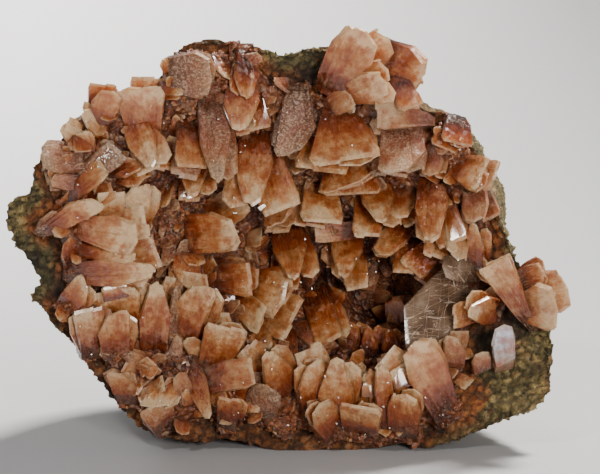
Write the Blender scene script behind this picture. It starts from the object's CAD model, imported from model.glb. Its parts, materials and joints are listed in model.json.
"""The looks of a crystal-lined piece of basalt: a bowl of peach and orange blades in a shell of rock."""

import json
import math
import random
from collections import namedtuple

import bmesh
import bpy
import numpy as np
from mathutils import Matrix, Vector, noise
from mathutils.bvhtree import BVHTree

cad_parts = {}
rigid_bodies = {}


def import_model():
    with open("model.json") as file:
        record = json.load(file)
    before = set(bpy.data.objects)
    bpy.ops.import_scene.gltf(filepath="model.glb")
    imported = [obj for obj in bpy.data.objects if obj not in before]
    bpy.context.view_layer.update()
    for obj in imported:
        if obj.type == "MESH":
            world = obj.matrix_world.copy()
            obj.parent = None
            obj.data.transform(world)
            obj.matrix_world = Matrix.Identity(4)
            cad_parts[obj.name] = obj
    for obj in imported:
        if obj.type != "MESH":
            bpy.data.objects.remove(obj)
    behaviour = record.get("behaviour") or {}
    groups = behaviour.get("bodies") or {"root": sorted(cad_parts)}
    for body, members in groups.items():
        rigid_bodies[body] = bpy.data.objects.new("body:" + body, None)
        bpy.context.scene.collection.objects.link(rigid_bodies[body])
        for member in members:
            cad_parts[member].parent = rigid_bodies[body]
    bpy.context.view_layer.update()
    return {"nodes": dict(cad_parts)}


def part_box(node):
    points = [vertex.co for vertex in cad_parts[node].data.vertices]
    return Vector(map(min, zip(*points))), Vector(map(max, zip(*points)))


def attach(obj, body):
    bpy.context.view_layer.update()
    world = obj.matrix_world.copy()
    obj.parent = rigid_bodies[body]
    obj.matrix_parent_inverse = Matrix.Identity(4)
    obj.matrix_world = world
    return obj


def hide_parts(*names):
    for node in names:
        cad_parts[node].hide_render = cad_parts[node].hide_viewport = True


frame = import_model()
MM = 0.001

# The view.
# The specimen is seen from the front and a little above, through a long lens. Places on it are given on the
# picture grid, 600 wide by 474 high with rows counted downwards, and by a depth in millimetres away from the
# viewer.
PICTURE = 0.18 * MM
PICTURE_WIDTH = 600
PICTURE_MIDDLE = (300, 237)
VIEW_TILT = math.radians(12)
BASE_COLUMN = 312
BASE_ROW = 452
BASE_FRONT_DEPTH = -12.0
BASE_MIDDLE_DEPTH = 6.0
FOCUS_DEPTH = -10.0
CAMERA_DISTANCE = 2.0
SENSOR_WIDTH = 36.0
FARTHEST = 20.0

RIGHT = Vector((1, 0, 0))
UP = Vector((0, math.sin(VIEW_TILT), math.cos(VIEW_TILT)))
AWAY = Vector((0, math.cos(VIEW_TILT), -math.sin(VIEW_TILT)))
REST = Vector((0, -BASE_MIDDLE_DEPTH * MM / math.cos(VIEW_TILT), BASE_FRONT_DEPTH * MM * math.sin(VIEW_TILT)))


def place(column, row, depth):
    """The point of the specimen at a place of the picture grid and a depth in millimetres."""
    flat = RIGHT * (column - BASE_COLUMN) * PICTURE + UP * (BASE_ROW - row) * PICTURE
    return REST + flat + AWAY * depth * MM


lens = bpy.data.cameras.new("camera")
lens.sensor_width = SENSOR_WIDTH
lens.lens = SENSOR_WIDTH * CAMERA_DISTANCE / (PICTURE_WIDTH * PICTURE)
lens.clip_end = FARTHEST
camera = bpy.data.objects.new("camera", lens)
facing = Matrix((RIGHT, UP, -AWAY)).transposed().to_4x4()
seen_from = place(*PICTURE_MIDDLE, FOCUS_DEPTH) - AWAY * CAMERA_DISTANCE
camera.matrix_world = Matrix.Translation(seen_from) @ facing
bpy.context.scene.collection.objects.link(camera)
bpy.context.scene.camera = camera

# The floor and the light.
# A plain pale studio floor. The main lamp stands high behind at the right. A low one in front at the right
# strikes glints from the facets, a small one helps at the left, and a broad one behind lights the floor.
FLOOR_SIDE = 6.0
FLOOR_COLOUR = (0.50, 0.50, 0.505)
FLOOR_ROUGHNESS = 0.6
# Away from the viewer the floor grows brighter at the left and darker at the right
FLOOR_NEAR, FLOOR_FAR = 0.0, 0.42
FLOOR_HALF_WIDTH = 0.06
FLOOR_FAR_LEFT, FLOOR_FAR_RIGHT = 1.05, -0.42
ROOM_COLOUR, ROOM_STRENGTH = (0.98, 0.98, 1.0), 0.20
LAMPS = {
    # name: (place, side length, watts, colour), metres
    "key": ((0.40, 0.44, 1.04), 0.24, 35.0, (1.0, 0.97, 0.93)),
    "front": ((0.45, -1.45, 0.42), 0.26, 15.0, (1.0, 0.97, 0.93)),
    "spark": ((-0.55, -0.95, 1.05), 0.10, 5.5, (1.0, 0.98, 0.95)),
    "back": ((-1.10, 1.40, 1.20), 0.9, 12.0, (1.0, 1.0, 1.0)),
}


def feed(node, inputs):
    """Gives a shader node its inputs, as values or as the sockets to link."""
    for name, value in inputs.items():
        if isinstance(value, bpy.types.NodeSocket):
            node.id_data.links.new(value, node.inputs[name])
        else:
            node.inputs[name].default_value = value


def wire(tree, kind, inputs=None, **settings):
    """A shader node with its settings and its inputs."""
    made = tree.nodes.new(kind)
    for name, value in settings.items():
        setattr(made, name, value)
    feed(made, inputs or {})
    return made


def new_material(name):
    """A material with an empty Principled surface, and its node tree and shader."""
    made = bpy.data.materials.new(name)
    made.use_nodes = True
    return made, made.node_tree, made.node_tree.nodes["Principled BSDF"]


def calc(operation, value, *others):
    """A number worked out from a socket's value and others."""
    inputs = dict(enumerate((value, *others)))
    return wire(value.id_data, "ShaderNodeMath", inputs, operation=operation).outputs[0]


def calc_vector(operation, value, *others):
    """A vector worked out from a socket's value and others."""
    inputs = dict(enumerate((value, *others)))
    return wire(value.id_data, "ShaderNodeVectorMath", inputs, operation=operation).outputs[0]


def map_value(value, start, end, low, high):
    """A value moved from one range to another and kept in it."""
    inputs = {"Value": value, "From Min": start, "From Max": end, "To Min": low, "To Max": high}
    return wire(value.id_data, "ShaderNodeMapRange", inputs).outputs[0]


bpy.ops.mesh.primitive_plane_add(size=FLOOR_SIDE, location=(0, 0, 0))
floor = bpy.context.object
floor.name = "floor"
floor_paint, tree, shader = new_material("floor_paint")
ground = wire(tree, "ShaderNodeSeparateXYZ", {0: wire(tree, "ShaderNodeTexCoord").outputs["Object"]})
aside = ground.outputs[0]
aside = map_value(aside, -FLOOR_HALF_WIDTH, FLOOR_HALF_WIDTH, FLOOR_FAR_LEFT, FLOOR_FAR_RIGHT)
beyond = map_value(ground.outputs[1], FLOOR_NEAR, FLOOR_FAR, 0, 1)
shade = calc("MULTIPLY_ADD", aside, beyond, 1.0)
tint = calc_vector("MULTIPLY", shade, FLOOR_COLOUR)
feed(shader, {"Base Color": tint, "Roughness": FLOOR_ROUGHNESS})
floor.data.materials.append(floor_paint)

for name, (spot, side, watts, colour) in LAMPS.items():
    lamp = bpy.data.lights.new(name, "AREA")
    lamp.size = side
    lamp.energy = watts
    lamp.color = colour
    stand = bpy.data.objects.new(name, lamp)
    stand.matrix_world = Matrix.Translation(spot) @ Vector(spot).to_track_quat("Z", "Y").to_matrix().to_4x4()
    bpy.context.scene.collection.objects.link(stand)
room = bpy.data.worlds.new("room")
room.use_nodes = True
feed(room.node_tree.nodes["Background"], {"Color": (*ROOM_COLOUR, 1), "Strength": ROOM_STRENGTH})
bpy.context.scene.world = room

# The rock.
# One broken piece of weathered basalt: pitted and mossy grey-green on the left, olive along the top, grainy
# and brown-green on the ledge at the lower right, rusty where the crystals start, broken round at the back.
ROCK_CELL = 0.5
# Sizes and heights in millimetres of the grains, of the lumps that carry them and of the chunks of the back
GRAIN, GRAIN_HEIGHT = 1.7, 0.95
LUMP, LUMP_HEIGHT = 6.0, 0.75
CHUNK, CHUNK_DEPTH = 17.0, 1.2
WORN = 0.25
FLAT_BELOW = 0.3
# Rust follows the crystals over this width
BORDER = 3.5
# Grains may stand this far outside the rock's own box
SPARE = 0.7
# The back starts at this depth, and its look takes over within the second value
BACK_FROM, BACK_OVER = -8, 10
# Patches on the picture grid: column, row, radius. Their edges wander by WANDER over WANDER_SIZE millimetres.
WANDER, WANDER_SIZE = 14, 9
PATCH_SIZE = 13
MOSS_SPOTS = (
    (30, 225, 46), (60, 282, 26), (270, 62, 44), (503, 240, 26), (480, 148, 16), (505, 395, 40),
    (545, 345, 22),
)
RUST_SPOTS = (
    (235, 428, 60), (140, 395, 42), (465, 395, 22), (95, 350, 34), (330, 445, 60), (75, 250, 22),
    (300, 90, 20),
)
DARK_SPOTS = ((62, 290, 18), (40, 262, 14), (515, 318, 16), (490, 342, 18), (305, 78, 14), (100, 400, 30))
PALE_SPOTS = ((520, 385, 38), (480, 405, 30), (545, 350, 18), (28, 220, 26), (250, 62, 20), (505, 240, 16))


def select_only(piece):
    """Selects one object alone and makes it the active one."""
    bpy.ops.object.select_all(action="DESELECT")
    bpy.context.view_layer.objects.active = piece
    piece.select_set(True)


def even_copy(node_name, name, cell):
    """A copy of a solid in even faces as wide as the cell, on which detail can be raised."""
    copy = bpy.data.objects.new(name, frame["nodes"][node_name].data.copy())
    bpy.context.scene.collection.objects.link(copy)
    select_only(copy)
    bpy.ops.object.mode_set(mode="EDIT")
    bpy.ops.mesh.select_all(action="SELECT")
    bpy.ops.mesh.remove_doubles(threshold=0.00001)
    bpy.ops.object.mode_set(mode="OBJECT")
    evened = copy.modifiers.new("even", "REMESH")
    evened.mode = "VOXEL"
    evened.voxel_size = cell * MM
    bpy.ops.object.modifier_apply(modifier=evened.name)
    # The evening leaves crumbs at sharp corners: only what hangs together with the lowest point is kept
    lowest = min(copy.data.vertices, key=lambda v: v.co.z).index
    bpy.ops.object.mode_set(mode="EDIT")
    bpy.ops.mesh.select_all(action="DESELECT")
    shape = bmesh.from_edit_mesh(copy.data)
    shape.verts.ensure_lookup_table()
    shape.verts[lowest].select = True
    bmesh.update_edit_mesh(copy.data)
    bpy.ops.mesh.select_linked()
    bpy.ops.mesh.select_all(action="INVERT")
    bpy.ops.mesh.delete(type="VERT")
    bpy.ops.object.mode_set(mode="OBJECT")
    copy.data.materials.clear()
    return copy


def grid_place(point):
    """Column, row and depth of a point of the specimen on the picture grid."""
    offset = point - REST
    return (
        BASE_COLUMN + offset.dot(RIGHT) / PICTURE,
        BASE_ROW - offset.dot(UP) / PICTURE,
        offset.dot(AWAY) / MM,
    )


def near_spots(column, row, spots):
    """How much a place of the picture grid belongs to the nearest of some round patches, from 0 to 1."""
    return max(math.exp(-(((column - x) ** 2 + (row - y) ** 2) / r**2) ** 1.5) for x, y, r in spots)


def grains(point, size):
    """Height of rounded grains of that size in millimetres, from 0 in the clefts to 1 on their tops."""
    near, far = noise.voronoi(point / (size * MM))[0][:2]
    return min(1.0, 1.6 * (far - near))


def tree_of(node_name):
    """A ray-casting tree of a solid."""
    data = frame["nodes"][node_name].data
    return BVHTree.FromPolygons([v.co for v in data.vertices], [p.vertices for p in data.polygons])


rock_tree = tree_of("basalt_shell")
crust_tree = tree_of("crystal_crust")
rock = even_copy("basalt_shell", "rock", ROCK_CELL)
rock_low, rock_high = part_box("basalt_shell")
skins, spots = [], []
starts = [v.co.copy() for v in rock.data.vertices]
normals = [v.normal.copy() for v in rock.data.vertices]
for start, normal in zip(starts, normals):
    column, row, depth = grid_place(start)
    wavy = WANDER * noise.noise(start / (WANDER_SIZE * MM))
    moss = near_spots(column + wavy, row - wavy, MOSS_SPOTS)
    rust = near_spots(column - wavy, row + wavy, RUST_SPOTS)
    shade = near_spots(column + wavy, row, DARK_SPOTS) - near_spots(column - wavy, row, PALE_SPOTS)
    behind = min(1.0, max(0.0, (depth - BACK_FROM) / BACK_OVER))
    border = max(0.0, 1 - crust_tree.find_nearest(start)[3] / (BORDER * MM))
    top = grains(start, GRAIN)
    patches = 0.5 + 0.9 * noise.noise(start / (PATCH_SIZE * MM) + Vector((4, 7, 1)))
    # Shares of moss and rust, shade from pale at -1 to dark at 1, and height of the grain
    skins.append((
        moss * (1 - behind) + 0.55 * patches * behind,
        max(rust * (1 - behind) + 0.25 * (1 - patches) * behind, 0.9 * border),
        shade * (1 - behind),
        top + 0.7 * behind * (0.7 - top),
    ))
    lift = LUMP_HEIGHT * noise.fractal(start / (LUMP * MM), 1.0, 2.1, 3) - WORN
    lift += GRAIN_HEIGHT * (0.6 + 0.7 * moss) * (1 - 0.6 * behind) * (top - 0.7)
    lift += CHUNK_DEPTH * behind * (grains(start + Vector((0.3, 0, 0)), CHUNK) - 0.6)
    lift += 0.5 * GRAIN_HEIGHT * (grains(start + Vector((0, 0, 0.1)), 0.6 * GRAIN) - 0.6)
    # The flat on which the specimen rests stays flat
    spots.append(start + normal * lift * MM * min(1.0, max(0.0, start.z / MM - FLAT_BELOW)))
lowest_corner, highest_corner = np.array(rock_low) - SPARE * MM, np.array(rock_high) + SPARE * MM
spots = np.clip(np.array(spots), lowest_corner, highest_corner)
spots[:, 2] = np.maximum(spots[:, 2], rock_low[2])
rock.data.vertices.foreach_set("co", spots.ravel())
skin = rock.data.attributes.new("skin", "FLOAT_COLOR", "POINT")
skin.data.foreach_set("color", np.array(skins, np.float32).ravel())
rock.data.update()
select_only(rock)
bpy.ops.object.shade_smooth()


def ramp(value, stops):
    """A colour ramp on a value. Each stop is a position and a linear colour."""
    made = wire(value.id_data, "ShaderNodeValToRGB", {"Fac": value})
    elements = made.color_ramp.elements
    for index, (position, colour) in enumerate(stops):
        element = elements[index] if index < 2 else elements.new(position)
        element.position = position
        element.color = (*colour, 1)
    return made.outputs["Color"]


def blend_colour(amount, below, above, kind="MIX"):
    """One colour laid over another by an amount."""
    inputs = {0: amount, 6: below, 7: above}
    return wire(amount.id_data, "ShaderNodeMix", inputs, data_type="RGBA", blend_type=kind).outputs[2]


def noise_at(spot, scale, detail, roughness=0.5):
    """Cloudy noise from 0 to 1."""
    inputs = {"Vector": spot, "Scale": scale, "Detail": detail, "Roughness": roughness}
    return wire(spot.id_data, "ShaderNodeTexNoise", inputs).outputs["Fac"]


def split(colour):
    """Red, green and blue of a colour, or three values that one carries."""
    return wire(colour.id_data, "ShaderNodeSeparateColor", {0: colour}).outputs


def cells_at(spot, scale):
    """Small cells: the colour of each by chance, and the distance from its middle."""
    made = wire(spot.id_data, "ShaderNodeTexVoronoi", {"Vector": spot, "Scale": scale})
    return made.outputs["Color"], made.outputs["Distance"]


weathered, tree, shader = new_material("weathered_basalt")
spot = wire(tree, "ShaderNodeTexCoord").outputs["Object"]
painted = wire(tree, "ShaderNodeAttribute", attribute_name="skin")
mossed, rusted, shaded = split(painted.outputs["Color"])
crown = painted.outputs["Alpha"]
coarse = noise_at(spot, 420.0, 8.0, 0.78)
fine = noise_at(spot, 1500.0, 3.0, 0.7)
speck = split(cells_at(spot, 2200.0)[0])
plain = ramp(coarse, (
    (0.36, (0.050, 0.028, 0.010)), (0.46, (0.210, 0.120, 0.036)),
    (0.56, (0.400, 0.235, 0.080)), (0.68, (0.620, 0.400, 0.170)),
))
mossy = ramp(coarse, (
    (0.36, (0.024, 0.019, 0.007)), (0.46, (0.140, 0.110, 0.036)),
    (0.56, (0.310, 0.240, 0.086)), (0.68, (0.560, 0.420, 0.190)),
))
rusty = ramp(coarse, (
    (0.36, (0.080, 0.022, 0.005)), (0.47, (0.300, 0.085, 0.018)),
    (0.58, (0.480, 0.165, 0.042)), (0.70, (0.600, 0.310, 0.130)),
))
moss_amount = map_value(calc("ADD", mossed, fine), 0.62, 1.0, 0, 1)
rust_amount = map_value(calc("ADD", rusted, fine), 0.72, 1.05, 0, 1)
colour = blend_colour(moss_amount, plain, mossy)
colour = blend_colour(rust_amount, colour, rusty)
# Specks, dark places, clefts and the tops of grains: where each starts and is full, its share and its colour
for value, first, full, share, layer in (
    (speck[0], 0.86, 0.97, 0.55, (0.34, 0.25, 0.15, 1)),
    (speck[1], 0.84, 0.97, 0.70, (0.020, 0.018, 0.010, 1)),
    (speck[2], 0.90, 0.98, 0.60, (0.24, 0.070, 0.020, 1)),
    (shaded, 0.3, 1.0, 0.85, (0.018, 0.014, 0.010, 1)),
    (crown, 0.6, 0.05, 0.75, (0.014, 0.011, 0.006, 1)),
    (crown, 0.75, 1.0, 0.25, (0.36, 0.30, 0.17, 1)),
):
    colour = blend_colour(map_value(value, first, full, 0, share), colour, layer)
paleness = map_value(shaded, -0.1, -1.0, 0, 1)
colour = blend_colour(paleness, colour, (1.75, 1.65, 1.6, 1), "MULTIPLY")
height = calc("ADD", coarse, fine)
rough_skin = wire(tree, "ShaderNodeBump", {"Height": height, "Strength": 1.0, "Distance": 0.0016})
feed(shader, {"Base Color": colour, "Roughness": 0.85, "Normal": rough_skin.outputs[0]})
rock.data.materials.append(weathered)
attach(rock, "root")
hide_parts("basalt_shell")

# The bed of the crust.
# Crystals too small to tell apart cover the rock all over the hollow as a rough rusty bed, from which the
# large blades stand. It thins out to nothing at its edge.
BED_COLUMNS, BED_ROWS = 240, 195
BED_FIRST, BED_LAST = (30, 40), (560, 460)
# Thickness of the bed, width of its thin edge in steps of its grid, height and spacing of its lumps
BED_COVER = 2.7
BED_EDGE = 8
BED_LUMP_HEIGHT, LUMP_PLACES = 0.9, 14
# It starts this far inside the rock, and faces with longer edges than this are torn ones and go
BED_SINK = 0.4
BED_STRETCH = 3.0
# Crystals that are strewn start this many of its steps or more from its edge
WELL_INSIDE = 4
# Sight lines start this far in front of the specimen
START_DEPTH = -100


def depth_on(surface, column, row):
    """Depth at which the line of sight through a place of the picture grid meets a surface, or None."""
    start = place(column, row, START_DEPTH)
    hit = surface.ray_cast(start, AWAY)[0]
    return None if hit is None else (hit - start).length / MM + START_DEPTH


bpy.ops.mesh.primitive_grid_add(x_subdivisions=BED_COLUMNS - 1, y_subdivisions=BED_ROWS - 1, size=2)
bed = bpy.context.object
bed.name = "crust_bed"
seats = np.full((BED_ROWS, BED_COLUMNS), np.nan)
spans = zip(BED_FIRST, BED_LAST, (BED_COLUMNS, BED_ROWS))
steps = [(last - first) / (count - 1) for first, last, count in spans]


def bed_place(line, post):
    """Column and row of the picture grid at a point of the bed's own grid."""
    return BED_FIRST[0] + post * steps[0], BED_FIRST[1] + line * steps[1]


for line in range(BED_ROWS):
    for post in range(BED_COLUMNS):
        column, row = bed_place(line, post)
        seat = depth_on(rock_tree, column, row)
        if seat is not None and depth_on(crust_tree, column, row) is not None:
            seats[line, post] = seat
covered = ~np.isnan(seats)
inset = np.zeros(seats.shape)
core = covered.copy()
for _ in range(BED_EDGE):
    inset += core
    padded = np.pad(core, 1)
    core = core & padded[:-2, 1:-1] & padded[2:, 1:-1] & padded[1:-1, :-2] & padded[1:-1, 2:]
for index, vertex in enumerate(bed.data.vertices):
    # The grid primitive counts its rows from the bottom
    line, post = BED_ROWS - 1 - index // BED_COLUMNS, index % BED_COLUMNS
    if not covered[line, post]:
        continue
    column, row = bed_place(line, post)
    at = Vector((column / LUMP_PLACES, row / LUMP_PLACES, 2.7))
    lumps = BED_LUMP_HEIGHT * noise.fractal(at, 0.9, 2.1, 4)
    share = min(1.0, inset[line, post] / BED_EDGE) ** 0.7
    cover = (BED_COVER + BED_SINK + lumps) * share
    vertex.co = place(column, row, seats[line, post] + BED_SINK - cover)
bpy.ops.object.mode_set(mode="EDIT")
shape = bmesh.from_edit_mesh(bed.data)
bpy.ops.mesh.select_all(action="DESELECT")
shape.verts.ensure_lookup_table()
for index, vertex in enumerate(shape.verts):
    vertex.select = not covered[BED_ROWS - 1 - index // BED_COLUMNS, index % BED_COLUMNS]
shape.select_flush(True)
bmesh.update_edit_mesh(bed.data)
bpy.ops.mesh.delete(type="VERT")
shape = bmesh.from_edit_mesh(bed.data)
bpy.ops.mesh.select_all(action="DESELECT")
for face in shape.faces:
    face.select = max(edge.calc_length() for edge in face.edges) > BED_STRETCH * MM
bmesh.update_edit_mesh(bed.data)
bpy.ops.mesh.delete(type="FACE")
bpy.ops.object.mode_set(mode="OBJECT")
bpy.ops.object.shade_smooth()

gritty, tree, shader = new_material("gritty_crust")
spot = wire(tree, "ShaderNodeTexCoord").outputs["Object"]
coarse = noise_at(spot, 220.0, 6.0, 0.75)
cell_colour, cell_distance = cells_at(spot, 1100.0)
colour = ramp(coarse, (
    (0.32, (0.014, 0.004, 0.002)), (0.46, (0.085, 0.019, 0.005)),
    (0.58, (0.210, 0.058, 0.014)), (0.72, (0.360, 0.160, 0.065)),
))
bright_cells = map_value(split(cell_colour)[1], 0.86, 0.98, 0, 0.6)
colour = blend_colour(bright_cells, colour, (0.46, 0.28, 0.18, 1))
height = calc("SUBTRACT", coarse, cell_distance)
grit = wire(tree, "ShaderNodeBump", {"Height": height, "Strength": 0.8, "Distance": 0.0008}).outputs[0]
feed(shader, {"Base Color": colour, "Roughness": 0.5, "Specular IOR Level": 0.6, "Normal": grit})
bed.data.materials.append(gritty)
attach(bed, "root")
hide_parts("crystal_crust")

# The blades of the lining.
# Flat zeolite blades, 5 to 14 mm long, most of them wider at the tip than at the root. Each grew as a sheaf
# of thin slats, which leaves steps across its broad face and a notched tip. They are orange where they start
# and pale where they end.
# A root lies this deep in the rock and starts this far back from its place, in millimetres
ROOT_DEPTH = 1.6
ROOT_LENGTH = 2.0

# Outlines of tips as (across, along): across from 0.5 to -0.5 of the width, along from 0 at the root to 1.
TIPS = {
    "blunt": ((0.5, 0.86), (0.40, 1), (-0.44, 0.96), (-0.5, 0.84)),
    "point": ((0.5, 0.56), (0.20, 0.96), (0.02, 1), (-0.14, 0.95), (-0.5, 0.50)),
    "round": ((0.5, 0.66), (0.36, 0.91), (0.05, 1), (-0.30, 0.94), (-0.5, 0.64)),
    "left": ((0.5, 0.62), (0.10, 0.92), (-0.25, 1), (-0.40, 1), (-0.5, 0.90)),
    "right": ((0.5, 0.90), (0.40, 1), (0.25, 1), (-0.10, 0.92), (-0.5, 0.62)),
}
# Slants of the facets that edge a blade, against its thickness, and the slope from which a face is one
FACET_SLANTS = (0.005, 0.07, 0.015)
RIM_SLOPE = 0.96
# Leaves of one blade from front to back: middle and thickness as shares of the blade's, and the turn and
# lean in degrees
LEAVES = ((0.32, 0.36, 0, 0), (0.06, 0.26, 12, 5), (-0.22, 0.34, 18, 12))
# Shares of the given width at the root and the tip, and of the thickness that is lost up to the tip
ROOT_SHARE, TIP_SHARE = 0.74, 1.20
THINNING = 0.82
# The first stretch of a blade dips into the bed by this many millimetres
DIP_LENGTH, DIP = 0.22, 1.8
# Where the cuts between slats and rows may lie, and how far they may lean
SLAT_REACH, SLAT_LEAN = 0.42, 0.10
ROW_REACH, ROW_LEAN = (0.15, 0.88), 0.3
# Edges sharper than this are bevelled, and corners that end up nearer than this are one
SHARP = math.radians(35)
SAME_CORNER = 0.0004
# Past the rock's edge a blade is rooted at this depth
OPEN_DEPTH = -15.0
# Each further leaf is deeper in tone by the first value, and each leaf is off by up to the second
TONE_STEP, TONE_SPREAD = 0.14, 0.10
SMOOTH_UP_TO = math.radians(16)
Habit = namedtuple("Habit", "points faces rims")


def cut(point, outward, off=False):
    """Cuts through the whole mesh in edit mode, and takes off what lies outward where told to."""
    bpy.ops.mesh.select_all(action="SELECT")
    bpy.ops.mesh.bisect(plane_co=point, plane_no=outward, use_fill=off, clear_outer=off)


def cut_tip(outline, slants):
    """Cuts the corners off the block along the outline of a tip, each cut slanted to the front face."""
    for (x, y), (next_x, next_y), slant in zip(outline, outline[1:], slants):
        outward = Vector((next_y - y, x - next_x, 0)).normalized() + Vector((0, 0, slant))
        cut((x, y, -0.5), outward, off=True)


def raise_faces(chosen, shift):
    """Extrudes the faces of the mesh in edit mode that a test chooses."""
    mesh = bmesh.from_edit_mesh(bpy.context.object.data)
    bpy.ops.mesh.select_all(action="DESELECT")
    found = False
    for face in mesh.faces:
        if chosen(face.calc_center_median(), face.normal):
            face.select = True
            found = True
    bmesh.update_edit_mesh(bpy.context.object.data)
    if found:
        bpy.ops.mesh.extrude_region_move(TRANSFORM_OT_translate={"value": shift})


def as_habit(made):
    """The points, faces and rim faces of a modelled shape, which is then removed."""
    mesh = made.data
    habit = Habit(
        np.array([v.co for v in mesh.vertices]),
        [tuple(p.vertices) for p in mesh.polygons],
        [float(p.normal.z < RIM_SLOPE) for p in mesh.polygons],
    )
    bpy.data.objects.remove(made)
    return habit


def model_blade(form, slats, rows, step, notch, seed, bevel=0.014):
    """A blade 1 wide, 1 long and 1 thick with its root at the origin, stepped into slats."""
    chance = random.Random(seed)
    bpy.ops.mesh.primitive_cube_add(size=1, location=(0, 0, 0))
    blade = bpy.context.object
    bpy.ops.object.mode_set(mode="EDIT")
    bpy.ops.transform.translate(value=(0, 0.5, 0))
    cut_tip(TIPS[form], [chance.triangular(*FACET_SLANTS) for _ in TIPS[form]])
    for side in (-1, 1):
        cut((side * 0.5, 0, -0.5), (side, 0, chance.triangular(*FACET_SLANTS)), off=True)
    edges = sorted(chance.uniform(-SLAT_REACH, SLAT_REACH) for _ in range(slats - 1))
    levels = sorted(chance.uniform(*ROW_REACH) for _ in range(rows - 1))
    for x in edges:
        cut((x, 0, 0), (1, chance.uniform(-SLAT_LEAN, SLAT_LEAN), 0))
    for y in levels:
        cut((0, y, 0), (chance.uniform(-ROW_LEAN, ROW_LEAN), 1, 0))
    bounds = [-0.5, *edges, 0.5]
    for left, right in zip(bounds, bounds[1:]):
        start_y = chance.choice([-0.1, *levels])
        lift = chance.uniform(0.0, 1.0) * step
        raise_faces(lambda c, n: n.z > 0.95 and left < c.x < right and c.y > start_y, (0, 0, lift))
        raise_faces(lambda c, n: n.y > 0.35 and left < c.x < right, (0, chance.uniform(0, 1) * notch, 0))
    bpy.ops.mesh.select_all(action="DESELECT")
    bpy.ops.mesh.edges_select_sharp(sharpness=SHARP)
    bpy.ops.mesh.bevel(offset=bevel, segments=1, affect="EDGES", clamp_overlap=True)
    bpy.ops.mesh.select_all(action="SELECT")
    bpy.ops.mesh.remove_doubles(threshold=SAME_CORNER)
    bpy.ops.mesh.normals_make_consistent(inside=False)
    bpy.ops.object.mode_set(mode="OBJECT")
    return as_habit(blade)


BLADES = {
    form: [model_blade(form, 3 + n, 3, 0.30, 0.04, seed=number * 10 + n) for n in range(3)]
    for number, form in enumerate(TIPS)
}

# root, tip: places on the picture grid. root_width, tip_width: on the same grid. rise: millimetres by which
# the tip stands nearer the viewer than the root. thick: millimetres. roll: degrees about the length. tone: 0
# deep orange to 1 pale cream, less than 0 in the dark. dust: 0 clean and glossy to 1 coated with grains.
Crystal = namedtuple("Crystal", "root tip root_width tip_width rise thick roll form tone dust")

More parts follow.
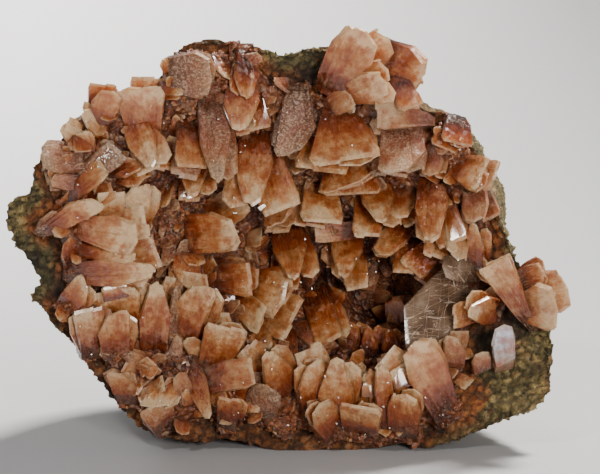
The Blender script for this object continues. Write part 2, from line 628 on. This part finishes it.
LINING = [Crystal(*row) for row in (
    # Upper left shoulder
    ((98, 122), (114, 89), 20, 30, 4, 4, 12, "round", 0.46, 0.1),
    ((146, 132), (141, 86), 40, 44, 4.5, 4.5, -8, "blunt", 0.71, 0.2),
    ((137, 124), (156, 169), 34, 28, 5, 4, 10, "point", 1.00, 0.1),
    ((156, 91), (186, 94), 22, 9, 3, 3, -25, "blunt", 0.46, 0.2),
    ((100, 138), (82, 111), 10, 14, 4, 3, 30, "round", 1.00, 0.1),
    ((88, 150), (66, 124), 16, 20, 2, 3, -20, "round", 0.81, 0.3),
    ((86, 162), (41, 160), 26, 30, 1, 5, 15, "round", 0.71, 0.7),
    ((92, 158), (84, 130), 20, 20, 3, 3, -30, "blunt", 0.41, 0.1),
    ((80, 180), (120, 148), 22, 24, 4, 3.5, 20, "blunt", 0.76, 0.9),
    ((78, 180), (50, 180), 20, 16, 2, 4, -15, "round", 0.36, 0.5),
    ((114, 172), (146, 166), 16, 24, 3, 3, -35, "point", 0.41, 0.2),
    # Left flank
    ((50, 226), (99, 196), 16, 24, 4, 4, 18, "right", 0.81, 0.1),
    ((68, 204), (108, 168), 14, 18, 5, 3, -32, "blunt", 0.46, 0.1),
    ((136, 230), (137, 181), 30, 30, 6.5, 4.5, -6, "right", 1.00, 0.2),
    ((108, 230), (112, 189), 26, 26, 5, 4, 14, "blunt", 0.76, 0.3),
    ((78, 226), (142, 238), 22, 42, 5.5, 4.5, 8, "round", 0.91, 0.1),
    ((76, 250), (138, 254), 18, 22, 5, 3.5, -28, "blunt", 0.66, 0.1),
    ((76, 272), (157, 268), 24, 34, 6, 4.5, 10, "point", 0.71, 0.1),
    ((68, 306), (92, 283), 26, 24, 3.5, 3.5, -14, "left", 0.56, 0.2),
    ((126, 326), (115, 286), 34, 44, 5, 4, -18, "blunt", 0.71, 0.0),
    ((90, 348), (88, 306), 26, 28, 3.5, 4, 16, "blunt", 0.71, 0.3),
    ((119, 356), (113, 307), 30, 32, 5, 4.5, -12, "right", 0.61, 0.2),
    ((152, 346), (155, 280), 34, 32, 6, 4.5, 10, "point", 0.71, 0.2),
    ((186, 340), (200, 280), 34, 36, 7.5, 4.5, -14, "right", 0.76, 0.2),
    ((170, 344), (174, 284), 12, 16, 5.5, 3, 40, "point", 0.61, 0.9),
    ((212, 366), (229, 322), 36, 38, 7, 4, 6, "blunt", 0.76, 0.2),
    ((205, 356), (186, 336), 20, 18, 4, 3, -20, "round", 0.91, 0.3),
    # Middle of the hollow
    ((187, 233), (242, 230), 58, 34, 8.5, 5, 8, "round", 0.70, 0.1),
    ((186, 252), (181, 290), 30, 26, 4, 3.5, -22, "left", 0.55, 0.3),
    ((210, 275), (254, 278), 28, 32, 4, 4, 18, "blunt", 0.25, 0.1),
    ((246, 288), (290, 300), 40, 48, 8.5, 4.5, -6, "round", 0.75, 0.1),
    ((234, 294), (266, 322), 24, 26, 5.5, 3.5, 24, "blunt", 0.60, 0.1),
    ((244, 326), (228, 292), 22, 24, 1, 3, 10, "round", 0.15, 0.1),
    ((283, 318), (285, 378), 30, 22, 5.5, 4, -12, "blunt", 0.35, 0.0),
    ((262, 316), (260, 352), 26, 24, 4, 3.5, 20, "left", 0.50, 0.1),
    ((288, 229), (297, 283), 46, 28, 7.5, 5, 8, "point", 0.55, 0.1),
    ((319, 182), (320, 226), 38, 38, 5.5, 4.5, -14, "blunt", 0.60, 0.2),
    ((282, 188), (283, 228), 32, 30, 5, 4, 16, "right", 0.45, 0.4),
    ((350, 232), (345, 281), 44, 26, 7.5, 4, 8, "point", 0.70, 0.1),
    ((372, 226), (314, 231), 22, 18, 4, 3.5, -20, "blunt", 0.25, 0.1),
    ((372, 240), (322, 262), 26, 26, 1.5, 3.5, 14, "round", 0.25, 0.2),
    ((409, 222), (381, 258), 28, 24, 6, 4, 22, "round", 0.40, 0.2),
    ((374, 186), (382, 228), 46, 26, 7.5, 4.5, -12, "point", 0.80, 0.2),
    ((315, 290), (334, 348), 38, 24, 8.5, 5, 14, "blunt", 0.40, 0.0),
    ((298, 326), (320, 350), 22, 20, 3, 3.5, -22, "point", 0.20, 0.4),
    ((404, 190), (398, 222), 34, 28, 3.5, 3.5, 18, "round", 0.45, 0.3),
    # Upper wall
    ((178, 74), (216, 76), 44, 46, 3, 6, 8, "round", 0.45, 0.8),
    ((243, 60), (245, 100), 20, 26, 1.5, 3.5, -30, "point", 0.10, 0.0),
    ((244, 84), (242, 134), 36, 36, 4, 4, 12, "point", 0.45, 0.1),
    ((211, 102), (219, 184), 40, 28, 6.5, 4.5, -10, "point", 0.60, 0.7),
    ((256, 132), (255, 208), 36, 40, 7.5, 4.5, 8, "point", 0.65, 0.2),
    ((187, 116), (190, 170), 26, 28, 4.5, 4, -24, "blunt", 0.20, 0.2),
    ((196, 156), (196, 200), 32, 26, 5, 4, 12, "point", 0.55, 0.3),
    ((299, 96), (298, 158), 28, 40, 5.5, 5, 10, "right", 0.50, 1.0),
    ((328, 112), (354, 96), 24, 22, 3.5, 4, -16, "blunt", 0.55, 0.4),
    ((336, 111), (346, 167), 26, 66, 8.5, 4.5, -6, "blunt", 0.60, 0.0),
    ((352, 160), (355, 189), 60, 62, 3.5, 3.5, 14, "right", 0.30, 0.2),
    ((400, 128), (402, 178), 52, 44, 5.5, 4.5, -10, "right", 0.55, 0.7),
    ((373, 128), (376, 161), 22, 26, 3, 3.5, 22, "round", 0.40, 0.8),
    ((455, 125), (454, 148), 28, 28, 3, 4, -18, "blunt", 0.10, 0.2),
    ((434, 146), (432, 178), 26, 22, 2, 3.5, 20, "round", 0.20, 0.4),
    # Right wall
    ((458, 168), (486, 178), 26, 34, 5.5, 4, -12, "blunt", 0.60, 0.3),
    ((433, 178), (434, 244), 28, 36, 6.5, 4.5, 14, "point", 0.45, 0.1),
    ((456, 208), (449, 256), 30, 26, 5.5, 4, -20, "point", 0.75, 0.3),
    ((476, 188), (478, 224), 28, 24, 3.5, 3.5, 22, "round", 0.40, 0.5),
    ((479, 270), (474, 220), 20, 16, 4.5, 3.5, -24, "point", 0.55, 0.2),
    ((466, 262), (488, 256), 18, 20, 3.5, 3.5, 26, "round", 0.25, 0.3),
    ((440, 248), (409, 272), 32, 26, 2, 4, 18, "blunt", 0.10, 0.1),
    ((452, 368), (454, 332), 26, 20, 5, 3, 16, "left", 0.75, 0.5),
    ((494, 308), (463, 310), 26, 30, 7, 3.5, -22, "point", 0.75, 0.2),
    # Floor of the pocket
    ((350, 350), (354, 322), 24, 20, 1, 4, -24, "round", -1.00, 0.3),
    ((372, 356), (370, 326), 20, 16, 1.5, 3.5, -20, "point", -0.80, 0.2),
    ((390, 356), (387, 328), 20, 18, 2, 3.5, 18, "point", -0.70, 0.2),
    ((404, 330), (394, 298), 26, 22, 1, 3.5, -16, "round", -0.90, 0.2),
    ((372, 262), (366, 290), 24, 20, 2, 4, 20, "round", -0.10, 0.5),
    # Bottom rim
    ((198, 384), (256, 372), 34, 26, 5, 4.5, -14, "blunt", 0.35, 0.3),
    ((286, 394), (263, 350), 40, 32, 7.5, 4, 8, "point", 0.65, 0.2),
    ((262, 414), (268, 382), 36, 32, 4.5, 4, -18, "round", 0.55, 0.9),
    ((192, 358), (214, 418), 16, 22, 4, 4, 34, "point", 0.40, 0.3),
    ((228, 422), (232, 394), 24, 22, 4.5, 3.5, -10, "blunt", 0.20, 0.2),
    ((312, 414), (308, 359), 30, 26, 5.5, 4, 14, "right", 0.45, 0.1),
    ((336, 424), (337, 353), 42, 34, 7, 5, -8, "point", 0.70, 0.2),
    ((354, 414), (352, 364), 18, 16, 5, 3.5, 38, "point", 0.75, 0.2),
    ((332, 430), (315, 402), 36, 28, 6, 4, 16, "round", 0.55, 0.3),
    ((362, 430), (362, 400), 44, 36, 6.5, 4.5, -14, "blunt", 0.50, 0.1),
    ((386, 430), (379, 360), 28, 15, 7.5, 4.5, 12, "round", 0.40, 0.2),
    ((371, 410), (368, 371), 16, 14, 5, 3.5, -36, "point", 0.85, 0.0),
    ((412, 410), (398, 362), 26, 26, 5.5, 4, 26, "blunt", 0.75, 0.0),
    ((404, 430), (405, 388), 40, 30, 7.5, 4.5, -10, "round", 0.50, 0.2),
    ((446, 412), (411, 342), 38, 40, 9, 4, 8, "round", 0.60, 0.0),
    ((392, 392), (388, 356), 16, 14, 4, 3, -20, "point", 0.90, 0.1),
    ((160, 386), (158, 410), 40, 38, 3, 3.5, 14, "round", 0.85, 0.2),
    ((128, 396), (120, 368), 26, 22, 3, 3.5, -18, "left", 0.50, 0.4),
    ((163, 424), (152, 402), 30, 30, 2.5, 3.5, 10, "blunt", 0.40, 0.5),
    ((150, 368), (124, 358), 26, 22, 3, 3.5, -20, "blunt", 0.40, 0.4),
    ((184, 400), (176, 372), 20, 18, 3, 3.5, 24, "round", 0.35, 0.5),
)]


def grow(crystal, habits, chance, leaves=LEAVES):
    """The leaves of one crystal: for each its habit, its points, its places in the crystal and its look."""
    found = depth_on(rock_tree, *crystal.root)
    root_depth = (OPEN_DEPTH if found is None else found) - ROOT_DEPTH
    root = place(*crystal.root, root_depth)
    tip = place(*crystal.tip, root_depth - crystal.rise)
    along = (tip - root).normalized()
    across = Matrix.Rotation(math.radians(crystal.roll), 3, along) @ along.cross(-AWAY).normalized()
    out = across.cross(along)
    start = root - along * ROOT_LENGTH * MM
    length = (tip - start).length
    spread = PICTURE / math.cos(math.radians(crystal.roll))
    side = chance.choice((-1, 1))
    grown = []
    for number, (middle, share, turn, lean) in enumerate(leaves):
        habit = habits[number % len(habits)]
        swing = Matrix.Rotation(math.radians(side * turn * chance.uniform(0.4, 1.2)), 3, out)
        nod = Matrix.Rotation(-math.radians(lean * chance.uniform(0.5, 1.1)), 3, across)
        side = -side
        reach = length if number == 0 else length * chance.uniform(0.86, 1.0)
        x, y, z = habit.points.T
        root_width = crystal.root_width * ROOT_SHARE
        width = (root_width + (crystal.tip_width * TIP_SHARE - root_width) * y) * spread
        width = width * (1 if number == 0 else chance.uniform(0.75, 0.95))
        thick = crystal.thick * MM * share
        local = np.outer(x * width, np.array(across)) + np.outer(y * reach, np.array(along))
        dip = DIP * MM * np.clip(1 - y / DIP_LENGTH, 0, 1)
        local += np.outer(z * thick * (1 - THINNING * y) - dip, np.array(out))
        points = np.array(start + out * crystal.thick * middle * MM) + local @ np.array(nod @ swing).T
        real = np.stack([x * crystal.tip_width * PICTURE / MM, y, z], axis=1)
        tone = crystal.tone - TONE_STEP * number + chance.uniform(-TONE_SPREAD, TONE_SPREAD)
        grown.append((habit, points, real, (min(1.0, max(-1.0, tone)), crystal.dust, chance.random())))
    return grown


def join_blades(name, grown):
    """One object from grown crystals, with attributes for places in the crystal, looks and rims."""
    faces, count = [], 0
    for habit, points, _, _ in grown:
        faces.extend(tuple(i + count for i in face) for face in habit.faces)
        count += len(points)
    data = bpy.data.meshes.new(name)
    data.from_pydata(np.concatenate([g[1] for g in grown]).tolist(), [], faces)
    for kind, form, domain, field, values in (
        ("growth", "FLOAT_VECTOR", "POINT", "vector", [g[2] for g in grown]),
        ("look", "FLOAT_COLOR", "POINT", "color", [np.tile((*g[3], 1.0), (len(g[1]), 1)) for g in grown]),
        ("rim", "FLOAT", "FACE", "value", [g[0].rims for g in grown]),
    ):
        layer = data.attributes.new(kind, form, domain)
        layer.data.foreach_set(field, np.concatenate(values).astype(np.float32).ravel())
    made = bpy.data.objects.new(name, data)
    bpy.context.scene.collection.objects.link(made)
    select_only(made)
    bpy.ops.object.shade_smooth_by_angle(angle=SMOOTH_UP_TO)
    return made


# The leaves behind the front one have these tips
OTHER_FORMS = ("round", "blunt", "right")
chance = random.Random(5)
grown = []
for number, crystal in enumerate(LINING):
    front = BLADES[crystal.form][number % 3]
    grown += grow(crystal, (front, *(BLADES[form][(number + 1) % 3] for form in OTHER_FORMS)), chance)
lining = join_blades("lining_blades", grown)

BLADE_STOPS = (
    (0.00, (0.045, 0.006, 0.001)),
    (0.18, (0.150, 0.021, 0.003)),
    (0.38, (0.310, 0.058, 0.006)),
    (0.60, (0.460, 0.150, 0.034)),
    (0.82, (0.620, 0.285, 0.105)),
    (1.00, (0.790, 0.510, 0.275)),
)
RIM_COLOUR = (0.74, 0.47, 0.25, 1)
VEIN_COLOUR = (0.32, 0.050, 0.005, 1)
FROST_COLOUR = (0.66, 0.42, 0.22, 1)
GRIT_STOPS = ((0.15, (0.110, 0.038, 0.018)), (0.55, (0.26, 0.115, 0.058)), (0.85, (0.52, 0.34, 0.22)))
STREAK_SCALE, HAIR_SCALE, CLOUD_SCALE, SUGAR_SCALE = 2.2, 8.0, 330.0, 3800.0
# Growth mosaic: patches about a millimetre wide, each tilted a little its own way, so that they glint in turn
MOSAIC_SCALE, MOSAIC_TILT = 1500.0, 0.40


def crystal_material(name, stops, gloss=0.13, scatter=0.14, clear=0.24, fibres=0.22):
    """A crystal coloured along its growth, streaked lengthwise, with grains where it is dusty."""
    made, tree, shader = new_material(name)
    growth, look, rim = (
        wire(tree, "ShaderNodeAttribute", attribute_name=kind).outputs for kind in ("growth", "look", "rim")
    )
    tone, dust, chance_value = split(look["Color"])
    spot = wire(tree, "ShaderNodeTexCoord").outputs["Object"]
    across, along, _ = wire(tree, "ShaderNodeSeparateXYZ", {0: growth["Vector"]}).outputs
    # Each crystal has streaks of its own
    shift = calc("MULTIPLY", chance_value, 60.0)
    lane = wire(tree, "ShaderNodeCombineXYZ", {0: across, 1: along, 2: shift}).outputs[0]
    lengthwise = calc_vector("MULTIPLY", lane, (1.0, 1.1, 1.0))
    streak = noise_at(lengthwise, STREAK_SCALE, 5.0, 0.65)
    hair = noise_at(lengthwise, HAIR_SCALE, 2.0, 0.6)
    cloud = noise_at(spot, CLOUD_SCALE, 4.0, 0.65)
    speck = split(cells_at(spot, SUGAR_SCALE)[0])
    lit = map_value(tone, -0.6, 0.2, 0.05, 1.0)

    level = map_value(along, 0.15, 1.0, -0.24, 0.90)
    for value, reach in ((tone, 0.62), (streak, 0.55), (cloud, 1.15)):
        level = calc("ADD", level, map_value(value, 0, 1, -reach / 2, reach / 2))
    colour = ramp(map_value(level, -0.12, 0.92, 0, 1), stops)
    frost = calc("MULTIPLY", map_value(cloud, 0.52, 0.74, 0, 0.30), lit)
    edge = calc("MULTIPLY", rim["Fac"], map_value(along, 0.3, 0.9, 0, 0.34))
    edge = calc("MULTIPLY", edge, lit)
    dusty = map_value(calc("MULTIPLY", dust, cloud), 0.12, 0.50, 0, 0.85)
    for amount, layer in (
        (map_value(cloud, 0.36, 0.52, 0.55, 0), VEIN_COLOUR),
        (map_value(hair, 0.54, 0.72, 0, fibres), FROST_COLOUR),
        (frost, FROST_COLOUR),
        (edge, RIM_COLOUR),
        (dusty, ramp(speck[0], GRIT_STOPS)),
    ):
        colour = blend_colour(amount, colour, layer)
    roughness = map_value(dust, 0, 1, gloss, 0.55)
    roughness = calc("ADD", roughness, map_value(cloud, 0.3, 0.7, -0.08, 0.14))

    lean = calc_vector("SUBTRACT", cells_at(spot, MOSAIC_SCALE)[0], (0.5, 0.5, 0.5))
    lean = calc_vector("MULTIPLY", lean, (MOSAIC_TILT,) * 3)
    own = wire(tree, "ShaderNodeNewGeometry").outputs["Normal"]
    lean = calc_vector("NORMALIZE", calc_vector("ADD", own, lean))
    sugar = calc("MULTIPLY", calc("MULTIPLY", speck[1], dust), 2.2)
    relief = calc("ADD", map_value(hair, 0.3, 0.7, 0, 1.3 * fibres), sugar)
    relief = calc("ADD", relief, cloud)
    inputs = {"Height": relief, "Strength": 0.65, "Distance": 0.00034, "Normal": lean}
    bump = wire(tree, "ShaderNodeBump", inputs)
    feed(shader, {
        "Base Color": colour,
        "Roughness": roughness,
        "IOR": 1.5,
        "Normal": bump.outputs[0],
        "Subsurface Weight": scatter,
        "Subsurface Radius": (1.0, 0.42, 0.20),
        "Subsurface Scale": 0.0022,
        "Specular IOR Level": 0.6,
        "Transmission Weight": clear,
        "Coat Weight": 0.5,
        "Coat Roughness": 0.10,
    })
    return made


blade_stuff = crystal_material("peach_crystal", BLADE_STOPS)
lining.data.materials.append(blade_stuff)
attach(lining, "root")
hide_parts("crystal_crust")

# The small blades between them.
# Lesser blades, 2 to 5 mm long, fill the room between the large ones. They lean every way and are deeper
# orange.
SMALL_BLADES = 420
LOWEST_ROW = 424
SMALL_LENGTHS = (12, 27)
# Deep in the pocket they are darker: from this depth on, over this many millimetres
DARK_FROM, DARK_OVER = -4.0, 8.0
small_habits = [model_blade(form, 2, 2, 0.12, 0.06, seed=70 + n, bevel=0.03) for n, form in enumerate(TIPS)]
chance = random.Random(23)
grown = []
while len(grown) < SMALL_BLADES:
    line, post = chance.randrange(BED_ROWS), chance.randrange(BED_COLUMNS)
    root = bed_place(line, post)
    if inset[line, post] < WELL_INSIDE or root[1] > LOWEST_ROW:
        continue
    angle = chance.uniform(0, 2 * math.pi)
    reach = chance.uniform(*SMALL_LENGTHS)
    tip = (root[0] + reach * math.cos(angle), root[1] + reach * math.sin(angle))
    width = reach * chance.uniform(0.5, 0.85)
    deep = min(1.0, max(0.0, (seats[line, post] - DARK_FROM) / DARK_OVER))
    rise, thick, roll = chance.uniform(1.2, 3.4), chance.uniform(1.4, 2.6), chance.uniform(-45, 45)
    tone = chance.uniform(0.0, 0.60) * (1 - deep) - 0.9 * deep
    dust = chance.uniform(0.1, 0.8)
    crystal = Crystal(root, tip, width * 0.7, width, rise, thick, roll, "blunt", tone, dust)
    habit = chance.choice(small_habits)
    grown += grow(crystal, (habit,), chance, leaves=LEAVES[:1])
small = join_blades("small_blades", grown)
small.data.materials.append(blade_stuff)
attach(small, "root")
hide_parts("crystal_crust")

# The grit.
# Crystals half a millimetre to a millimetre across are strewn over the bed and heaped in knots.
GRIT_COUNT = 5200
GRIT_SIZES = (0.3, 0.85)
# Share of the grit that is heaped in the knots, how much larger it is there than elsewhere, and how far it
# stands out of the bed in millimetres
IN_KNOTS = 0.4
KNOT_BULK, OPEN_BULK = 1.25, 0.9
GRIT_RISE = 0.25
# Knots: column, row and radius on the picture grid
KNOTS = (
    (212, 74, 22), (214, 128, 18), (298, 122, 22), (296, 182, 20), (382, 146, 16), (172, 212, 20),
    (455, 154, 14), (240, 252, 13), (168, 326, 12), (372, 276, 16), (330, 84, 12), (282, 424, 18),
    (384, 424, 14), (186, 98, 13), (170, 300, 12), (116, 350, 12), (465, 392, 18), (226, 400, 10),
)
bpy.ops.mesh.primitive_cylinder_add(vertices=6, radius=0.5, depth=1.0, location=(0, 0, 0))
nub = bpy.context.object
bpy.ops.object.mode_set(mode="EDIT")
raise_faces(lambda c, n: n.z > 0.9, (0, 0, 0.25))
bpy.ops.transform.resize(value=(0.45, 0.6, 1.0))
bpy.ops.object.mode_set(mode="OBJECT")
NUB = as_habit(nub)

chance = random.Random(41)
bed_tree = BVHTree.FromPolygons([v.co for v in bed.data.vertices], [p.vertices for p in bed.data.polygons])
grown = []
while len(grown) < GRIT_COUNT:
    if chance.random() < IN_KNOTS:
        column, row, radius = chance.choice(KNOTS)
        spot_column, spot_row = chance.gauss(column, radius * 0.5), chance.gauss(row, radius * 0.5)
        bulk = KNOT_BULK
    else:
        spot_column = chance.uniform(BED_FIRST[0], BED_LAST[0])
        spot_row = chance.uniform(BED_FIRST[1], BED_LAST[1])
        bulk = OPEN_BULK
    seat = depth_on(bed_tree, spot_column, spot_row)
    if seat is None:
        continue
    size = chance.uniform(*GRIT_SIZES) * bulk * MM
    turn = Matrix.Rotation(chance.uniform(0, 2 * math.pi), 3, AWAY)
    turn = turn @ Matrix.Rotation(chance.uniform(-1.3, 1.3), 3, "X")
    spread = turn @ Matrix.Diagonal((size * chance.uniform(0.8, 1.4), size, size * chance.uniform(0.9, 1.6)))
    points = NUB.points @ np.array(spread).T + np.array(place(spot_column, spot_row, seat - GRIT_RISE))
    look = (chance.uniform(0.0, 0.75), chance.uniform(0.0, 0.4), chance.random())
    grown.append((NUB, points, NUB.points * (1, 0.5, 1) + (0, 0.6, 0), look))
grit_object = join_blades("grit", grown)
grit_object.data.materials.append(blade_stuff)
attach(grit_object, "root")
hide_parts("crystal_crust")

# The glass-clear plates.
# Two thin clear grey-brown plates hang over the right side of the pocket. Growth lines cross them like
# scratches.
PLATE_LENGTH = 17.0
SCRATCH_TURNS = (0.5, -0.9, 1.7)
TIPS["plate"] = (
    (0.36, 0.15), (0.47, 0.34), (0.18, 0.84), (-0.29, 1), (-0.5, 0.69), (-0.45, 0.50), (-0.19, 0.23),
)
PLATES = (
    Crystal((478, 282), (394, 327), 70, 70, 6.5, 1.6, -6, "plate", 0.5, 0.0),
    Crystal((480, 270), (440, 268), 30, 28, 6.0, 1.6, 14, "round", 0.6, 0.0),
)
chance = random.Random(3)
grown = []
for crystal in PLATES:
    grown += grow(crystal, (model_blade(crystal.form, 3, 2, 0.10, 0.0, seed=91),), chance, leaves=LEAVES[:1])
plates = join_blades("clear_plates", grown)
clear, tree, shader = new_material("clear_crystal")
growth = wire(tree, "ShaderNodeAttribute", attribute_name="growth").outputs["Vector"]
scratches = None
for angle in SCRATCH_TURNS:
    flat = calc_vector("MULTIPLY", growth, (1.0, PLATE_LENGTH, 0.0))
    turned = wire(tree, "ShaderNodeMapping", {"Vector": flat, "Rotation": (0, 0, angle)}).outputs[0]
    waves = noise_at(calc_vector("MULTIPLY", turned, (0.07, 0.62, 1.0)), 1.0, 2.0)
    away = calc("ABSOLUTE", calc("SUBTRACT", waves, 0.5))
    line = map_value(away, 0, 0.006, 1, 0)
    scratches = line if scratches is None else calc("MAXIMUM", scratches, line)
veil = noise_at(wire(tree, "ShaderNodeTexCoord").outputs["Object"], 210.0, 3.0)
body = ramp(veil, (
    (0.34, (0.16, 0.085, 0.045)), (0.50, (0.34, 0.205, 0.12)), (0.66, (0.58, 0.42, 0.29)),
))
colour = blend_colour(map_value(scratches, 0, 1, 0, 0.60), body, (0.80, 0.64, 0.50, 1))
clearness = map_value(scratches, 0, 1, 0.62, 0.1)
scored = wire(tree, "ShaderNodeBump", {"Height": scratches, "Strength": 0.4, "Distance": 0.0002}).outputs[0]
feed(shader, {
    "Base Color": colour, "Transmission Weight": clearness, "Roughness": 0.14, "IOR": 1.45, "Normal": scored,
})
plates.data.materials.append(clear)
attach(plates, "root")
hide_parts("crystal_crust")

# The glints.
# A few facets of the lining happen to lie so that they throw the light of the front lamp straight at the
# viewer. Each is a clean plate on the face of a blade.
# Column, row, width and length on the picture grid, and turn in degrees
GLINTS = (
    (116, 292, 26, 15, 12), (401, 377, 18, 20, 10), (367, 389, 11, 15, 0), (262, 207, 8, 4, 40),
)
# The sugary crystal at the upper left glitters all over: middle, half its length and width, number of glints
GLITTER = ((107, 157), (13, 6), 46)
GLINT_RISE = 0.5
SPARKS, SPARK_SIZES = 150, (0.5, 1.5)
lamp_way = (Vector(LAMPS["front"][0]) - place(*PICTURE_MIDDLE, FOCUS_DEPTH)).normalized()
mirror = (lamp_way - AWAY).normalized()
lining_tree = BVHTree.FromObject(lining, bpy.context.evaluated_depsgraph_get())
chance = random.Random(6)
sparks = []
while len(sparks) < SPARKS:
    line, post = chance.randrange(BED_ROWS), chance.randrange(BED_COLUMNS)
    if inset[line, post] >= WELL_INSIDE:
        size = chance.uniform(*SPARK_SIZES)
        length = size * chance.uniform(0.6, 1.6)
        sparks.append((*bed_place(line, post), size, length, chance.uniform(0, 90)))
for _ in range(GLITTER[2]):
    along, aside = (chance.gauss(0, 0.5) * reach for reach in GLITTER[1])
    # It lies aslant, rising to the right
    spot = (GLITTER[0][0] + 0.8 * along + 0.6 * aside, GLITTER[0][1] - 0.6 * along + 0.8 * aside)
    sparks.append((*spot, chance.uniform(*SPARK_SIZES), chance.uniform(*SPARK_SIZES), chance.uniform(0, 90)))
grown = []
for column, row, width, length, turn in (*GLINTS, *sparks):
    across = Matrix.Rotation(math.radians(turn), 3, mirror) @ UP.cross(mirror).normalized()
    frame_of = Matrix((across, mirror.cross(across), mirror)).transposed()
    size = Matrix.Diagonal((width * PICTURE, length * PICTURE, GLINT_RISE * MM))
    seat = depth_on(lining_tree, column, row)
    if seat is None:
        seat = depth_on(bed_tree, column, row)
    habit = small_habits[len(grown) % len(small_habits)]
    points = (habit.points - (0, 0.5, 0)) @ np.array(frame_of @ size).T
    points += np.array(place(column, row, seat - GLINT_RISE))
    grown.append((habit, points, habit.points * (4, 1, 1), (0.9, 0.3, chance.random())))
glints = join_blades("glints", grown)
glints.data.materials.append(blade_stuff)
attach(glints, "root")
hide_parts("crystal_crust")

# The sheaf on the top edge.
# The largest blades of the rim stand on its top edge: a striated orange and cream sheaf with a round blade at
# each side and a chalky wedge below.
TOP_CLUSTER = (
    Crystal((334, 86), (366, 31), 40, 46, 5.5, 6.0, -10, "round", 0.78, 0.0),
    Crystal((346, 94), (389, 80), 24, 32, 7.5, 4.5, 12, "round", 0.85, 0.1),
    Crystal((384, 56), (425, 80), 44, 42, 4.0, 6.0, 8, "round", 0.45, 0.1),
    Crystal((398, 84), (411, 112), 22, 22, 3.0, 4.5, -14, "blunt", 0.20, 0.1),
    Crystal((424, 121), (373, 114), 12, 30, 4.0, 4.0, 10, "blunt", 1.00, 0.5),
)
chance = random.Random(8)
grown = []
for number, crystal in enumerate(TOP_CLUSTER):
    grown += grow(crystal, (BLADES[crystal.form][2 - number % 3], *BLADES["round"]), chance)
top = join_blades("top_sheaf", grown)
top.data.materials.append(blade_stuff)
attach(top, "root")
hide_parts("top_cluster")

# The fan at the right edge.
# A cream sheaf of thin slats, dark orange where it starts, with round cream blades behind it.
RIGHT_SHEAF = (
    Crystal((529, 322), (491, 260), 12, 28, 9.0, 4.0, -10, "fan", 0.70, 0.0),
    Crystal((524, 306), (560, 304), 24, 54, 5.0, 4.5, 8, "round", 0.90, 0.1),
    Crystal((518, 284), (546, 270), 22, 24, 3.0, 4.0, -16, "round", 0.00, 0.2),
)
TIPS["fan"] = ((0.5, 0.96), (0.47, 1), (-0.46, 1), (-0.5, 0.96))
FAN_LEAVES = ((0.32, 0.36, 0, 0), (-0.02, 0.34, 4, 4))
chance = random.Random(9)
fan_habit = model_blade("fan", 9, 2, 0.30, 0.015, seed=95)
grown = grow(RIGHT_SHEAF[0], (fan_habit,), chance, leaves=FAN_LEAVES)
for crystal in RIGHT_SHEAF[1:]:
    grown += grow(crystal, BLADES["round"], chance)
fan = join_blades("edge_fan", grown)
fan.data.materials.append(crystal_material("fibrous_crystal", BLADE_STOPS, fibres=0.75))
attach(fan, "root")
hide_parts("right_sheaf")

# The two blades on the ledge.
# A clear blue-white blade with a pearly face and a small pink one stand alone on the ledge at the lower
# right.
LEDGE_BLADE = Crystal((503, 361), (500, 321), 27, 22, 5.5, 4.0, 12, "round", 1.0, 0.0)
LEDGE_STUB = Crystal((480, 364), (479, 348), 24, 18, 3.0, 3.5, 14, "round", 0.45, 0.5)
chance = random.Random(10)
pearly_stops = (
    (0.00, (0.30, 0.14, 0.085)),
    (0.45, (0.36, 0.25, 0.21)),
    (0.75, (0.44, 0.42, 0.46)),
    (1.00, (0.58, 0.60, 0.68)),
)
pearl = crystal_material("pearly_crystal", pearly_stops, gloss=0.16, scatter=0.2, clear=0.1)
for name, crystal, node, slot, stuff in (
    ("pearly_blade", LEDGE_BLADE, "ledge_blade", "clear_crystal", pearl),
    ("pink_stub", LEDGE_STUB, "ledge_stub", "pale_crystal", blade_stuff),
):
    lone = join_blades(name, grow(crystal, BLADES[crystal.form], chance, leaves=LEAVES[:1]))
    lone.data.materials.append(stuff)
    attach(lone, "root")
    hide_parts(node)
